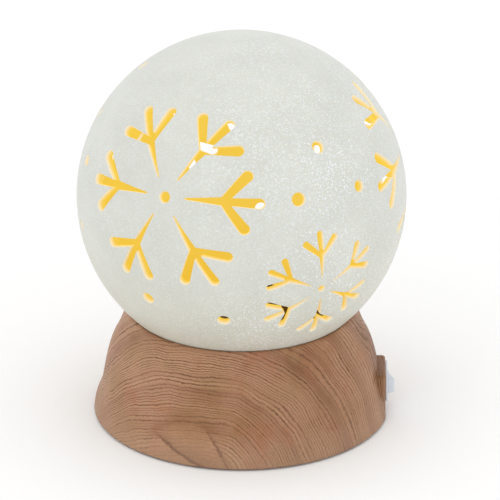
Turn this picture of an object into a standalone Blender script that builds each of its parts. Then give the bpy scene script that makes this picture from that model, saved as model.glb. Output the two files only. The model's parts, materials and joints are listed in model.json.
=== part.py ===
"""Snowflake globe night light.

A hollow ceramic globe with cut-out snowflakes stands in the dished top of a wood-look base.
The base holds a low LED light, three AAA cells behind a hinged door and a rocker switch.
The origin is on the table under the middle of the globe, +Z is up and -Y is the front.
"""

import math

import bmesh
import bpy
from mathutils import Matrix, Vector

MM = 0.001

# Clearance between pieces that touch on the real object.
GAP = 0.3

# Every length below is in millimetres and every angle in degrees.

# Globe
GLOBE_R = 60.0
GLOBE_WALL = 3.0
GLOBE_Z = 85.7
MOUTH_R = 30.0
GLOBE_SEGMENTS = 36
ARC_STEP = 10.0

# Snowflake at scale 1, in degrees of arc from its centre along and across one arm.
DOT_R = 2.1
STEM_START = 7.3
STEM_START_HALF = 0.3
JUNCTION = 20.8
JUNCTION_HALF = 1.45
SIDE_PRONG_ANGLE = 48.0
SIDE_PRONG_LENGTH = 12.4
CROTCH = (24.0, 1.4)
TIP_CENTRE = 33.6
TIP_R = 1.95
TIP_STEPS = 3
ROUND_HOLE_STEPS = 8

# Snowflakes: latitude, longitude from the front towards +X, scale, and the six arm angles.
SNOWFLAKES = (
    (20.4, -29.3, 1.0, (7, 62, 122, 180, 242, 307)),
    (-14.0, 29.8, 0.64, (26, 94, 155, 213, 275, 329)),
    (16.0, 96.0, 1.0, (0, 58, 116, 176, 238, 299)),
    (-14.0, -102.0, 0.6, (32, 92, 152, 212, 272, 332)),
    (17.4, 208.6, 1.0, (11, 71, 131, 191, 251, 311)),
)

# Round holes between the snowflakes: latitude, longitude and radius.
ROUND_HOLES = (
    (37.1, 35.0, 2.2),
    (20.9, 21.5, 2.4),
    (19.6, 48.5, 2.0),
    (-20.3, -36.7, 2.2),
    (-25.2, -6.7, 2.2),
    (17.9, -79.0, 2.0),
    (-5.5, -76.0, 2.0),
    (31.0, -95.0, 2.0),
    (52.0, -105.0, 2.2),
    (-24.0, -132.0, 2.4),
    (-5.0, 150.5, 2.6),
    (-29.0, 172.0, 2.2),
    (-21.0, 128.0, 2.2),
    (34.0, 150.0, 2.2),
)

# Base shell
BASE_SEGMENTS = 36
BASE_BOTTOM = 0.8
BASE_OUTSIDE = (
    (54.2, BASE_BOTTOM),
    (53.4, 5.0),
    (51.5, 10.0),
    (50.5, 15.0),
    (49.4, 21.0),
    (47.7, 27.0),
    (45.3, 32.0),
    (43.3, 37.2),
    (42.3, 41.2),
)
BASE_INSIDE = (
    (33.0, 29.6),
    (38.0, 34.2),
    (40.3, 36.2),
    (41.8, 34.6),
    (43.0, 32.0),
    (45.4, 27.0),
    (47.1, 21.0),
    (48.2, 15.0),
    (48.8, 10.0),
)
RIM_R = 42.0
DISH_CLEARANCE = 0.5
GROOVE_OUTER_R = 37.6
GROOVE_INNER_R = 33.4
GROOVE_DEPTH = 1.7
LIP_R = 31.6
LEDGE_TOP = 31.8
LEDGE_UNDER = 29.6
LEDGE_INNER_R = 19.0
COVER_SEAT_R = 50.7
COVER_SEAT_Z = 3.1
SKIRT_INSIDE_R = 48.8

# Switch boss on the +X side
BOSS_FACE_X = 52.8
BOSS_HALF_WIDTH = 9.2
BOSS_TOP = 17.0
BOSS_EDGE = 1.0
BOSS_WALL = 2.4
BOSS_ROOM_TOP = 15.4
BOSS_ROOM_HALF_WIDTH = 8.0

# Rocker switch
SWITCH_Z = 10.8
BEZEL = (0.6, 7.6, 4.7)
BEZEL_BACK_X = BOSS_FACE_X + 0.2
BEZEL_FRONT_X = BEZEL_BACK_X + BEZEL[0]
SWITCH_HALF = (6.75, 3.9)
SWITCH_BACK_X = 41.0
SWITCH_ROOM_HALF = (6.2, 3.0)
SWITCH_ROOM_BACK_X = 44.5
ROCKER_AXIS_X = BEZEL_FRONT_X - 2.0
ROCKER_END_R = 5.9
ROCKER_TIP_ANGLE = 54.7
ROCKER_TILT = 14.4
ROCKER_HALF_HEIGHT = 2.7
ROCKER_MIDDLE = 2.95
TRUNNION_R = 0.8
TRUNNION_END = 3.5
TERMINAL_LENGTH = 6.0
TERMINAL_Y = 3.5

# Light
DECK_R = 31.3
DECK_UNDER = LEDGE_TOP + GAP
DECK_TOP = 33.4
COLLAR_OUTER_R = 28.9
COLLAR_INNER_R = 27.4
COLLAR_TOP = 37.8
DECK_WIRE_HOLE_R = 3.0
DECK_SCREW_CIRCLE = 23.2
BOARD_R = 9.0
BOARD_UNDER = DECK_TOP + GAP
BOARD_TOP = 34.9
CHIP_CIRCLE = 4.8
CHIP_SIZE = (5.0, 5.0, 1.2)
LENS_R = 12.0
LENS_TOP = 38.9
LENS_WALL = 1.3

# Bottom cover, feet and fasteners
COVER_R = 50.4
COVER_TOP = 2.8
COVER_SCREW_CIRCLE = 43.5
POST_R = 3.4
POST_TOP = 27.0
PILOT_TOP = 14.0
RECESS_TOP = 1.9
FOOT_CIRCLE = 44.0
FOOT_R = 4.6
FOOT_TOP = 1.6
SCREW_HEAD_R = 2.6
SCREW_HEAD_HEIGHT = 0.8
SCREW_SHANK_R = 1.2
SCREW_SEGMENTS = 12

# Battery bay
CELL_R = 5.2
CELL_PITCH = 10.8
CELL_Z = 8.5
CELL_BODY = 43.5
CELL_NUB = (1.9, 1.0)
CELL_TIP_Y = 24.9
HOLDER_HALF = (17.3, 27.0)
HOLDER_ROOM_HALF = (16.3, 25.9)
HOLDER_BOTTOM = 3.1
HOLDER_TOP = 15.6
HOLDER_ROOM_TOP = 14.4
PLATE_THICKNESS = 0.4
SPRING_WIRE_R = 0.35
SPRING_TURNS = 3
SPRING_R = (3.2, 2.0)

# Battery door, hinged along X at the +Y end of its opening
DOOR_HALF_WIDTH = 17.4
DOOR_FRONT_Y = -26.9
DOOR_BOTTOM = 0.9
DOOR_TOP = 2.5
HINGE_Y = 28.1
HINGE_Z = 2.0
HINGE_BARREL_R = 1.0
HINGE_PIN_R = 0.6
HINGE_PIN_END = 19.4
OPENING_HALF_WIDTH = 17.8
OPENING_Y = (-27.3, 29.5)
EAR_SIZE = (2.9, 6.0, 4.6)

# Wiring
LEAD_R = 0.7


def clear_scene():
    for old in list(bpy.data.objects):
        bpy.data.objects.remove(old, do_unlink=True)


def linear(channel):
    """Convert one 0 to 255 screen channel to a linear value."""
    value = channel / 255.0
    if value <= 0.04045:
        return value / 12.92
    return ((value + 0.055) / 1.055) ** 2.4


def make_material(name, colour, roughness, metallic=0.0):
    material = bpy.data.materials.new(name)
    material.use_nodes = True
    shader = material.node_tree.nodes["Principled BSDF"]
    rgba = [linear(channel) for channel in colour] + [1.0]
    shader.inputs["Base Color"].default_value = rgba
    shader.inputs["Roughness"].default_value = roughness
    shader.inputs["Metallic"].default_value = metallic
    material.diffuse_color = rgba
    return material


def make_materials():
    rows = {
        "ceramic": ((228, 229, 222), 0.45),
        "wood_print": ((152, 114, 88), 0.5),
        "white_plastic": ((206, 210, 214), 0.35),
        "brown_plastic": ((75, 42, 18), 0.6),
        "black_plastic": ((34, 33, 32), 0.5),
        "board": ((232, 232, 226), 0.5),
        "led": ((248, 214, 96), 0.3),
        "lens": ((250, 236, 196), 0.3),
        "rubber": ((58, 56, 54), 0.85),
        "silicone": ((206, 200, 190), 0.7),
        "cell_jacket": ((42, 96, 72), 0.35),
        "red_lead": ((178, 32, 30), 0.45),
        "black_lead": ((28, 28, 30), 0.45),
    }
    made = {name: make_material(name, *values) for name, values in rows.items()}
    made["steel"] = make_material("steel", (190, 190, 186), 0.3, 1.0)
    return made


def to_metres(points):
    return [Vector(point) * MM for point in points]


def finish_mesh(mesh_data, name):
    """Weld a bmesh, turn its faces outwards and return it as a mesh."""
    bmesh.ops.remove_doubles(mesh_data, verts=mesh_data.verts, dist=0.001 * MM)
    bmesh.ops.dissolve_degenerate(mesh_data, edges=mesh_data.edges, dist=0.0001 * MM)
    bmesh.ops.recalc_face_normals(mesh_data, faces=mesh_data.faces)
    mesh = bpy.data.meshes.new(name)
    mesh_data.to_mesh(mesh)
    mesh_data.free()
    return mesh


def place(name, mesh, material, location=(0.0, 0.0, 0.0), smooth=True):
    item = bpy.data.objects.new(name, mesh)
    bpy.context.scene.collection.objects.link(item)
    item.location = Vector(location) * MM
    if not mesh.materials:
        mesh.materials.append(material)
    if smooth:
        mesh.shade_smooth()
        mesh.set_sharp_from_angle(angle=math.radians(35.0))
    return item


def turned_mesh(name, outline, segments):
    """Turn a closed outline of (radius, height) points about Z."""
    mesh_data = bmesh.new()
    verts = [mesh_data.verts.new(point) for point in to_metres((r, 0.0, z) for r, z in outline)]
    count = len(verts)
    edges = []
    for index in range(count):
        on_axis = outline[index][0] == 0.0 and outline[(index + 1) % count][0] == 0.0
        if not on_axis:
            edges.append(mesh_data.edges.new((verts[index], verts[(index + 1) % count])))
    bmesh.ops.spin(
        mesh_data,
        geom=verts + edges,
        cent=(0.0, 0.0, 0.0),
        axis=(0.0, 0.0, 1.0),
        angle=math.tau,
        steps=segments,
        use_merge=False,
    )
    return finish_mesh(mesh_data, name)


def cylinder_outline(radius, low, high):
    return [(0.0, low), (radius, low), (radius, high), (0.0, high)]


def box_mesh(name, low, high):
    mesh_data = bmesh.new()
    size = [(high[axis] - low[axis]) * MM for axis in range(3)]
    middle = [(high[axis] + low[axis]) * 0.5 * MM for axis in range(3)]
    scale = Matrix.Diagonal((*size, 1.0))
    bmesh.ops.create_cube(mesh_data, size=1.0, matrix=Matrix.Translation(middle) @ scale)
    return finish_mesh(mesh_data, name)


def prism_mesh(name, outline, low, high):
    """Extrude a closed (x, y) outline from height low to height high."""
    mesh_data = bmesh.new()
    verts = [mesh_data.verts.new(point) for point in to_metres((x, y, low) for x, y in outline)]
    face = mesh_data.faces.new(verts)
    extruded = bmesh.ops.extrude_face_region(mesh_data, geom=[face])
    moved = [item for item in extruded["geom"] if isinstance(item, bmesh.types.BMVert)]
    bmesh.ops.translate(mesh_data, verts=moved, vec=(0.0, 0.0, (high - low) * MM))
    return finish_mesh(mesh_data, name)


def as_cutter(name, mesh):
    item = bpy.data.objects.new(name, mesh)
    bpy.context.scene.collection.objects.link(item)
    item.hide_render = True
    item.display_type = "WIRE"
    return item


def combine(target, tool, operation):
    modifier = target.modifiers.new(tool.name, "BOOLEAN")
    modifier.operation = operation
    modifier.solver = "EXACT"
    modifier.object = tool


def cut(target, tool):
    combine(target, tool, "DIFFERENCE")


def add_to(target, tool):
    combine(target, tool, "UNION")


def box_cutter(name, low, high):
    return as_cutter(name, box_mesh(name, low, high))


def round_cutter(name, radius, low, high, centres, segments=16):
    """Make one cutter with an upright cylinder at each (x, y) centre."""
    mesh_data = bmesh.new()
    part = turned_mesh(name + "_one", cylinder_outline(radius, low, high), segments)
    for x, y in centres:
        start = len(mesh_data.verts)
        mesh_data.from_mesh(part)
        mesh_data.verts.ensure_lookup_table()
        bmesh.ops.translate(mesh_data, verts=mesh_data.verts[start:], vec=(x * MM, y * MM, 0.0))
    return as_cutter(name, finish_mesh(mesh_data, name))


def around(radius, count, first=0.0):
    """Return count (x, y) points evenly round the Z axis."""
    angles = [math.radians(first + 360.0 * index / count) for index in range(count)]
    return [(radius * math.cos(angle), radius * math.sin(angle)) for angle in angles]


def height_on_sphere(sphere_r, radius):
    """Return the height of the lower half of a sphere about the globe's centre."""
    return GLOBE_Z - math.sqrt(sphere_r**2 - radius**2)


# Globe


def globe_outline():
    """Return the globe's wall from its top, down the outside and back up the inside."""
    inner_r = GLOBE_R - GLOBE_WALL
    outer_end = 180.0 - math.degrees(math.asin(MOUTH_R / GLOBE_R))
    inner_end = 180.0 - math.degrees(math.asin(MOUTH_R / inner_r))
    steps = round(outer_end / ARC_STEP)
    outline = []
    for index in range(steps + 1):
        angle = math.radians(index * outer_end / steps)
        outline.append((GLOBE_R * math.sin(angle), GLOBE_Z + GLOBE_R * math.cos(angle)))
    for index in range(steps, -1, -1):
        angle = math.radians(index * inner_end / steps)
        outline.append((inner_r * math.sin(angle), GLOBE_Z + inner_r * math.cos(angle)))
    outline[0] = (0.0, GLOBE_Z + GLOBE_R)
    outline[-1] = (0.0, GLOBE_Z + inner_r)
    return outline


def sphere_frame(latitude, longitude):
    """Return the outward, east and north directions at a place on the globe."""
    lat = math.radians(latitude)
    lon = math.radians(longitude)
    out = Vector((math.cos(lat) * math.sin(lon), -math.cos(lat) * math.cos(lon), math.sin(lat)))
    east = Vector((math.cos(lon), math.sin(lon), 0.0))
    return out, east, out.cross(east)


def direction(frame, along, across, turn):
    """Return the direction that lies along and across one arm, in degrees from the centre."""
    out, east, north = frame
    reach = math.radians(math.hypot(along, across))
    angle = math.atan2(across, along) + math.radians(turn)
    side = east * math.cos(angle) + north * math.sin(angle)
    return out * math.cos(reach) + side * math.sin(reach)


def arc_points(centre, radius, first, last, steps):
    angles = [math.radians(first + (last - first) * index / steps) for index in range(steps + 1)]
    return [(centre[0] + radius * math.cos(a), centre[1] + radius * math.sin(a)) for a in angles]


def arm_outline():
    """Return one snowflake arm: a tapered stem that splits into three round-ended prongs."""
    side = math.radians(SIDE_PRONG_ANGLE)
    end = (JUNCTION + SIDE_PRONG_LENGTH * math.cos(side), SIDE_PRONG_LENGTH * math.sin(side))
    turn = SIDE_PRONG_ANGLE
    upper = [(STEM_START, STEM_START_HALF), (JUNCTION - 0.5, JUNCTION_HALF)]
    upper += arc_points(end, TIP_R, turn + 90.0, turn - 90.0, TIP_STEPS)
    upper += [CROTCH]
    upper += arc_points((TIP_CENTRE, 0.0), TIP_R, 90.0, 30.0, 1)
    lower = [(along, -across) for along, across in reversed(upper)]
    return upper + lower


def add_radial_plug(mesh_data, directions):
    """Add a closed plug through the globe's wall, its sides running to the globe's centre."""
    middle = sum(directions, Vector()).normalized()
    centre = Vector((0.0, 0.0, GLOBE_Z))
    rings = []
    for distance in (GLOBE_R - GLOBE_WALL - 6.0, GLOBE_R + 2.0):
        ring = []
        for ray in directions:
            point = (centre + ray * (distance / ray.dot(middle))) * MM
            ring.append(mesh_data.verts.new(point))
        rings.append(ring)
    inner, outer = rings
    mesh_data.faces.new(inner)
    mesh_data.faces.new(list(reversed(outer)))
    for index in range(len(inner)):
        after = (index + 1) % len(inner)
        mesh_data.faces.new((inner[after], inner[index], outer[index], outer[after]))


def make_globe(materials):
    mesh_data = bmesh.new()
    for latitude, longitude, scale, arms in SNOWFLAKES:
        frame = sphere_frame(latitude, longitude)
        for turn in arms:
            outline = [(x * scale, y * scale) for x, y in arm_outline()]
            add_radial_plug(mesh_data, [direction(frame, x, y, turn) for x, y in outline])
        ring = arc_points((0.0, 0.0), DOT_R * scale, 0.0, 360.0, ROUND_HOLE_STEPS)[:-1]
        add_radial_plug(mesh_data, [direction(frame, x, y, 0.0) for x, y in ring])
    for latitude, longitude, radius in ROUND_HOLES:
        frame = sphere_frame(latitude, longitude)
        ring = arc_points((0.0, 0.0), radius, 0.0, 360.0, ROUND_HOLE_STEPS)[:-1]
        add_radial_plug(mesh_data, [direction(frame, x, y, 0.0) for x, y in ring])
    plugs = as_cutter("snowflake_plugs", finish_mesh(mesh_data, "snowflake_plugs"))
    mesh = turned_mesh("globe_shade", globe_outline(), GLOBE_SEGMENTS)
    globe = place("globe_shade", mesh, materials["ceramic"])
    cut(globe, plugs)


# Base shell


def dish_point(depth, radius):
    return (radius, height_on_sphere(GLOBE_R + DISH_CLEARANCE + depth, radius))


def base_outline():
    outline = list(BASE_OUTSIDE)
    outline += [dish_point(0.0, radius) for radius in (RIM_R, 39.8, GROOVE_OUTER_R)]
    middle_r = (GROOVE_OUTER_R + GROOVE_INNER_R) * 0.5
    groove = (GROOVE_OUTER_R, middle_r, GROOVE_INNER_R)
    outline += [dish_point(GROOVE_DEPTH, radius) for radius in groove]
    outline += [dish_point(0.0, GROOVE_INNER_R), dish_point(0.0, LIP_R)]
    outline += [(LIP_R, LEDGE_TOP), (LEDGE_INNER_R, LEDGE_TOP), (LEDGE_INNER_R, LEDGE_UNDER)]
    outline += list(BASE_INSIDE)
    outline += [(SKIRT_INSIDE_R, COVER_SEAT_Z), (COVER_SEAT_R, COVER_SEAT_Z)]
    outline += [(COVER_SEAT_R, BASE_BOTTOM)]
    return outline


def make_base_shell(materials):
    mesh = turned_mesh("base_shell", base_outline(), BASE_SEGMENTS)
    shell = place("base_shell", mesh, materials["wood_print"])
    boss_low = (SWITCH_BACK_X + 3.0, -BOSS_HALF_WIDTH, COVER_SEAT_Z + 0.6)
    boss = box_cutter("boss_block", boss_low, (BOSS_FACE_X, BOSS_HALF_WIDTH, BOSS_TOP))
    edge = boss.modifiers.new("edge", "BEVEL")
    edge.width = BOSS_EDGE * MM
    edge.segments = 2
    add_to(shell, boss)
    corners = around(COVER_SCREW_CIRCLE, 4, 45.0)
    add_to(shell, round_cutter("posts", POST_R, COVER_SEAT_Z, POST_TOP, corners, 12))
    face = box_cutter("boss_face", (BOSS_FACE_X, -25.0, -5.0), (70.0, 25.0, 30.0))
    cut(shell, face)
    room_low = (35.0, -BOSS_ROOM_HALF_WIDTH, COVER_SEAT_Z)
    room_high = (BOSS_FACE_X - BOSS_WALL, BOSS_ROOM_HALF_WIDTH, BOSS_ROOM_TOP)
    cut(shell, box_cutter("boss_room", room_low, room_high))
    half_y = SWITCH_HALF[0] + GAP
    half_z = SWITCH_HALF[1] + GAP
    window_low = (BOSS_FACE_X - 5.0, -half_y, SWITCH_Z - half_z)
    window_high = (BOSS_FACE_X + 5.0, half_y, SWITCH_Z + half_z)
    cut(shell, box_cutter("switch_window", window_low, window_high))
    pilot_r = SCREW_SHANK_R + GAP
    cut(shell, round_cutter("pilots", pilot_r, COVER_SEAT_Z - 1.0, PILOT_TOP, corners, 8))
    deck_holes = around(DECK_SCREW_CIRCLE, 3, 90.0)
    low, high = LEDGE_UNDER - 1.0, LEDGE_TOP + 1.0
    cut(shell, round_cutter("deck_pilots", pilot_r, low, high, deck_holes, 8))


def make_gasket(materials):
    outer_r = GROOVE_OUTER_R - GAP
    inner_r = GROOVE_INNER_R + GAP
    middle_r = (outer_r + inner_r) * 0.5
    radii = (outer_r, middle_r, inner_r)
    top = [(radius, height_on_sphere(GLOBE_R + GAP, radius)) for radius in radii]
    low_r = GLOBE_R + DISH_CLEARANCE + GROOVE_DEPTH - GAP
    bottom = [(radius, height_on_sphere(low_r, radius)) for radius in reversed(radii)]
    mesh = turned_mesh("globe_gasket", top + bottom, BASE_SEGMENTS)
    place("globe_gasket", mesh, materials["silicone"])


# Light


def make_light(materials):
    outline = [
        (DECK_WIRE_HOLE_R, DECK_UNDER),
        (DECK_R, DECK_UNDER),
        (DECK_R, DECK_TOP),
        (COLLAR_OUTER_R, DECK_TOP),
        (COLLAR_OUTER_R, COLLAR_TOP - 0.8),
        (COLLAR_OUTER_R - 0.5, COLLAR_TOP),
        (COLLAR_INNER_R, COLLAR_TOP),
        (COLLAR_INNER_R, DECK_TOP),
        (DECK_WIRE_HOLE_R, DECK_TOP),
    ]
    deck = place(
        "light_deck", turned_mesh("light_deck", outline, BASE_SEGMENTS), materials["brown_plastic"]
    )
    holes = around(DECK_SCREW_CIRCLE, 3, 90.0)
    clear_r = SCREW_SHANK_R + GAP
    cut(deck, round_cutter("deck_holes", clear_r, DECK_UNDER - 1.0, DECK_TOP + 1.0, holes, 8))
    board_outline = cylinder_outline(BOARD_R, BOARD_UNDER, BOARD_TOP)
    board = turned_mesh("led_board", board_outline, 24)
    place("led_board", board, materials["board"])
    half = [side * 0.5 for side in CHIP_SIZE]
    chip = box_mesh("led_chip", (-half[0], -half[1], 0.0), (half[0], half[1], CHIP_SIZE[2]))
    for index, (x, y) in enumerate(around(CHIP_CIRCLE, 3, 30.0), 1):
        place(f"led_chip_{index}", chip, materials["led"], (x, y, BOARD_TOP + GAP), smooth=False)
    place("led_lens", turned_mesh("led_lens", lens_outline(), 24), materials["lens"])


def lens_outline():
    """Return a shallow dome over the LED board, open underneath."""
    low = BOARD_UNDER
    rise = LENS_TOP - low
    steps = 4
    outer = []
    inner = []
    for index in range(steps + 1):
        angle = math.radians(90.0 * index / steps)
        outer.append((LENS_R * math.cos(angle), low + rise * math.sin(angle) ** 0.7))
        inner_r = (LENS_R - LENS_WALL) * math.cos(angle)
        inner.append((inner_r, low + (rise - LENS_WALL) * math.sin(angle) ** 0.7))
    outer[-1] = (0.0, LENS_TOP)
    inner[-1] = (0.0, LENS_TOP - LENS_WALL)
    return outer + list(reversed(inner))


# Fasteners and feet


def screw_mesh(name, length):
    """Return a plain pan-head screw, head down at height 0 and shank up."""
    outline = [
        (0.0, 0.0),
        (SCREW_HEAD_R - 0.4, 0.0),
        (SCREW_HEAD_R, 0.3),
        (SCREW_HEAD_R, SCREW_HEAD_HEIGHT),
        (SCREW_SHANK_R, SCREW_HEAD_HEIGHT),
        (SCREW_SHANK_R, length - 1.2),
        (0.0, length),
    ]
    return turned_mesh(name, outline, SCREW_SEGMENTS)


def make_screws(materials):
    cover_screw = screw_mesh("cover_screw", 11.0)
    for index, (x, y) in enumerate(around(COVER_SCREW_CIRCLE, 4, 45.0), 1):
        location = (x, y, RECESS_TOP - GAP - SCREW_HEAD_HEIGHT)
        place(f"cover_screw_{index}", cover_screw, materials["steel"], location)
    deck_screw = screw_mesh("deck_screw", 5.0)
    for index, (x, y) in enumerate(around(DECK_SCREW_CIRCLE, 3, 90.0), 1):
        location = (x, y, DECK_TOP + GAP + SCREW_HEAD_HEIGHT)
        screw = place(f"deck_screw_{index}", deck_screw, materials["steel"], location)
        screw.rotation_euler = (math.pi, 0.0, 0.0)


def make_feet(materials):
    outline = [(0.0, 0.0), (FOOT_R - 0.4, 0.0), (FOOT_R, 0.4), (FOOT_R, FOOT_TOP), (0.0, FOOT_TOP)]
    mesh = turned_mesh("rubber_foot", outline, 20)
    for index, (x, y) in enumerate(around(FOOT_CIRCLE, 4), 1):
        place(f"rubber_foot_{index}", mesh, materials["rubber"], (x, y, 0.0))


# Bottom cover and battery bay


def hinge_ear(name, side, hole):
    """Return the block, or the blind pin hole, at one end of the door's hinge."""
    if hole:
        length = HINGE_PIN_END + GAP - OPENING_HALF_WIDTH + 1.0
        mesh = turned_mesh(name, cylinder_outline(HINGE_PIN_R + GAP, 0.0, length), 12)
        start = side * (OPENING_HALF_WIDTH - 1.0)
        turn = Matrix.Rotation(math.radians(90.0 * side), 4, "Y")
        mesh.transform(Matrix.Translation(Vector((start, HINGE_Y, HINGE_Z)) * MM) @ turn)
        return as_cutter(name, mesh)
    width, depth, top = EAR_SIZE
    edges = sorted((side * OPENING_HALF_WIDTH, side * (OPENING_HALF_WIDTH + width)))
    low = (edges[0], HINGE_Y - depth * 0.5, BASE_BOTTOM + 0.5)
    high = (edges[1], HINGE_Y + depth * 0.5, top)
    return box_cutter(name, low, high)


def make_bottom_cover(materials):
    outline = cylinder_outline(COVER_R, BASE_BOTTOM, COVER_TOP)
    mesh = turned_mesh("bottom_cover", outline, BASE_SEGMENTS)
    cover = place("bottom_cover", mesh, materials["brown_plastic"])
    for side, word in ((1, "right"), (-1, "left")):
        add_to(cover, hinge_ear(f"ear_{word}", side, hole=False))
    low = (-OPENING_HALF_WIDTH, OPENING_Y[0], -1.0)
    cut(cover, box_cutter("door_opening", low, (OPENING_HALF_WIDTH, OPENING_Y[1], 6.0)))
    for side, word in ((1, "right"), (-1, "left")):
        cut(cover, hinge_ear(f"ear_hole_{word}", side, hole=True))
    corners = around(COVER_SCREW_CIRCLE, 4, 45.0)
    cut(cover, round_cutter("cover_holes", SCREW_SHANK_R + GAP, 0.0, 4.0, corners, 8))
    head_r = SCREW_HEAD_R + GAP
    cut(cover, round_cutter("cover_counterbores", head_r, 0.0, RECESS_TOP, corners, 16))
    feet = around(FOOT_CIRCLE, 4)
    cut(cover, round_cutter("foot_recesses", FOOT_R + GAP, 0.0, RECESS_TOP, feet, 20))


def make_battery_door(materials):
    """Make the door with its origin on the hinge axis."""
    low = (-DOOR_HALF_WIDTH, DOOR_FRONT_Y - HINGE_Y, DOOR_BOTTOM - HINGE_Z)
    high = (DOOR_HALF_WIDTH, 0.0, DOOR_TOP - HINGE_Z)
    mesh = box_mesh("battery_door", low, high)
    door = place("battery_door", mesh, materials["brown_plastic"], (0.0, HINGE_Y, HINGE_Z))
    lie_along_x = Matrix.Rotation(math.radians(90.0), 4, "Y")
    origin = Matrix.Translation(door.location)
    rods = (("barrel", HINGE_BARREL_R, DOOR_HALF_WIDTH), ("pin", HINGE_PIN_R, HINGE_PIN_END))
    for word, radius, half in rods:
        outline = cylinder_outline(radius, -half, half)
        rod = turned_mesh("hinge_" + word, outline, 12)
        rod.transform(origin @ lie_along_x)
        add_to(door, as_cutter("hinge_" + word, rod))
    notch = round_cutter("finger_notch", 5.0, -1.0, 1.4, [(0.0, DOOR_FRONT_Y + 1.0)], 20)
    cut(door, notch)


def make_battery_holder(materials):
    low = (-HOLDER_HALF[0], -HOLDER_HALF[1], HOLDER_BOTTOM)
    high = (HOLDER_HALF[0], HOLDER_HALF[1], HOLDER_TOP)
    mesh = box_mesh("battery_holder", low, high)
    holder = place("battery_holder", mesh, materials["black_plastic"], smooth=False)
    low = (-HOLDER_ROOM_HALF[0], -HOLDER_ROOM_HALF[1], HOLDER_BOTTOM - 2.0)
    high = (HOLDER_ROOM_HALF[0], HOLDER_ROOM_HALF[1], HOLDER_ROOM_TOP)
    cut(holder, box_cutter("holder_room", low, high))


def make_cells(materials):
    """Make three cells side by side, the middle one turned round, with their contacts."""
    nub_r, nub_length = CELL_NUB
    top = CELL_TIP_Y
    bottom = top - nub_length - CELL_BODY
    outline = [
        (0.0, bottom),
        (CELL_R - 0.4, bottom),
        (CELL_R, bottom + 0.4),
        (CELL_R, top - nub_length - 0.4),
        (CELL_R - 0.4, top - nub_length),
        (nub_r, top - nub_length),
        (nub_r, top),
        (0.0, top),
    ]
    cell = turned_mesh("battery", outline, 20)
    spring_end = HOLDER_ROOM_HALF[1] - GAP - SPRING_WIRE_R
    coil_low = -bottom + GAP + SPRING_WIRE_R
    for index in range(3):
        number = index + 1
        way = -1.0 if index == 1 else 1.0
        x = (index - 1) * CELL_PITCH
        item = place(f"battery_{number}", cell, materials["cell_jacket"], (x, 0.0, CELL_Z))
        item.rotation_euler = (math.radians(-90.0 * way), 0.0, 0.0)
        make_spring(f"spring_contact_{number}", x, way, coil_low, spring_end, materials)
        plate_in = CELL_TIP_Y + GAP
        faces = sorted((way * plate_in, way * (plate_in + PLATE_THICKNESS)))
        low = (x - 4.0, faces[0], CELL_Z - 4.0)
        high = (x + 4.0, faces[1], CELL_Z + 4.0)
        plate = box_mesh(f"plate_contact_{number}", low, high)
        place(f"plate_contact_{number}", plate, materials["steel"], smooth=False)


def make_spring(name, x, way, near, far, materials):
    """Make one tapered coil that presses on a cell's flat end."""
    points_per_turn = 10
    count = SPRING_TURNS * points_per_turn
    points = []
    for index in range(count + 1):
        part = index / count
        angle = math.tau * SPRING_TURNS * part
        radius = SPRING_R[0] + (SPRING_R[1] - SPRING_R[0]) * part
        y = -way * (far + (near - far) * part)
        points.append((x + radius * math.cos(angle), y, CELL_Z + radius * math.sin(angle)))
    make_wire(name, points, SPRING_WIRE_R, 0, materials["steel"])


def make_wire(name, points, radius, resolution, material):
    curve = bpy.data.curves.new(name, "CURVE")
    curve.dimensions = "3D"
    curve.bevel_depth = radius * MM
    curve.bevel_resolution = resolution
    curve.use_fill_caps = True
    spline = curve.splines.new("POLY")
    spline.points.add(len(points) - 1)
    for target, point in zip(spline.points, to_metres(points)):
        target.co = (*point, 1.0)
    curve.materials.append(material)
    item = bpy.data.objects.new(name, curve)
    bpy.context.scene.collection.objects.link(item)


# Switch


def rocker_outline():
    """Return the rocker's side outline about its axis, x outwards and y across."""
    upper = [(ROCKER_MIDDLE, 0.0)]
    upper += arc_points((0.0, 0.0), ROCKER_END_R, ROCKER_TIP_ANGLE, 100.0, 4)
    lower = [(x, -y) for x, y in reversed(upper[1:])]
    return upper + [(-2.6, 1.2), (-2.6, -1.2)] + lower


def make_rocker(materials):
    """Make the rocker with its origin on its axis, tilted so that its -Y end stands out."""
    mesh = prism_mesh("switch_rocker", rocker_outline(), -ROCKER_HALF_HEIGHT, ROCKER_HALF_HEIGHT)
    mesh.transform(Matrix.Rotation(math.radians(ROCKER_TILT), 4, "Z"))
    location = (ROCKER_AXIS_X, 0.0, SWITCH_Z)
    rocker = place("switch_rocker", mesh, materials["white_plastic"], location)
    pins = turned_mesh("trunnions", cylinder_outline(TRUNNION_R, -TRUNNION_END, TRUNNION_END), 12)
    pins.transform(Matrix.Translation(Vector(location) * MM))
    add_to(rocker, as_cutter("trunnions", pins))


def make_switch_body(materials):
    low = (BEZEL_BACK_X, -BEZEL[1], SWITCH_Z - BEZEL[2])
    high = (BEZEL_FRONT_X, BEZEL[1], SWITCH_Z + BEZEL[2])
    mesh = box_mesh("switch_body", low, high)
    body = place("switch_body", mesh, materials["white_plastic"])
    low = (SWITCH_BACK_X, -SWITCH_HALF[0], SWITCH_Z - SWITCH_HALF[1])
    high = (BEZEL_BACK_X + 0.3, SWITCH_HALF[0], SWITCH_Z + SWITCH_HALF[1])
    add_to(body, box_cutter("switch_case", low, high))
    half_y, half_z = SWITCH_ROOM_HALF
    low = (SWITCH_ROOM_BACK_X, -half_y, SWITCH_Z - half_z)
    high = (BEZEL_FRONT_X + 2.0, half_y, SWITCH_Z + half_z)
    cut(body, box_cutter("switch_room", low, high))
    centre = [(ROCKER_AXIS_X, 0.0)]
    low, high = SWITCH_Z - 6.0, SWITCH_Z + 6.0
    cut(body, round_cutter("trunnion_holes", TRUNNION_R + GAP, low, high, centre, 12))


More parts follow.
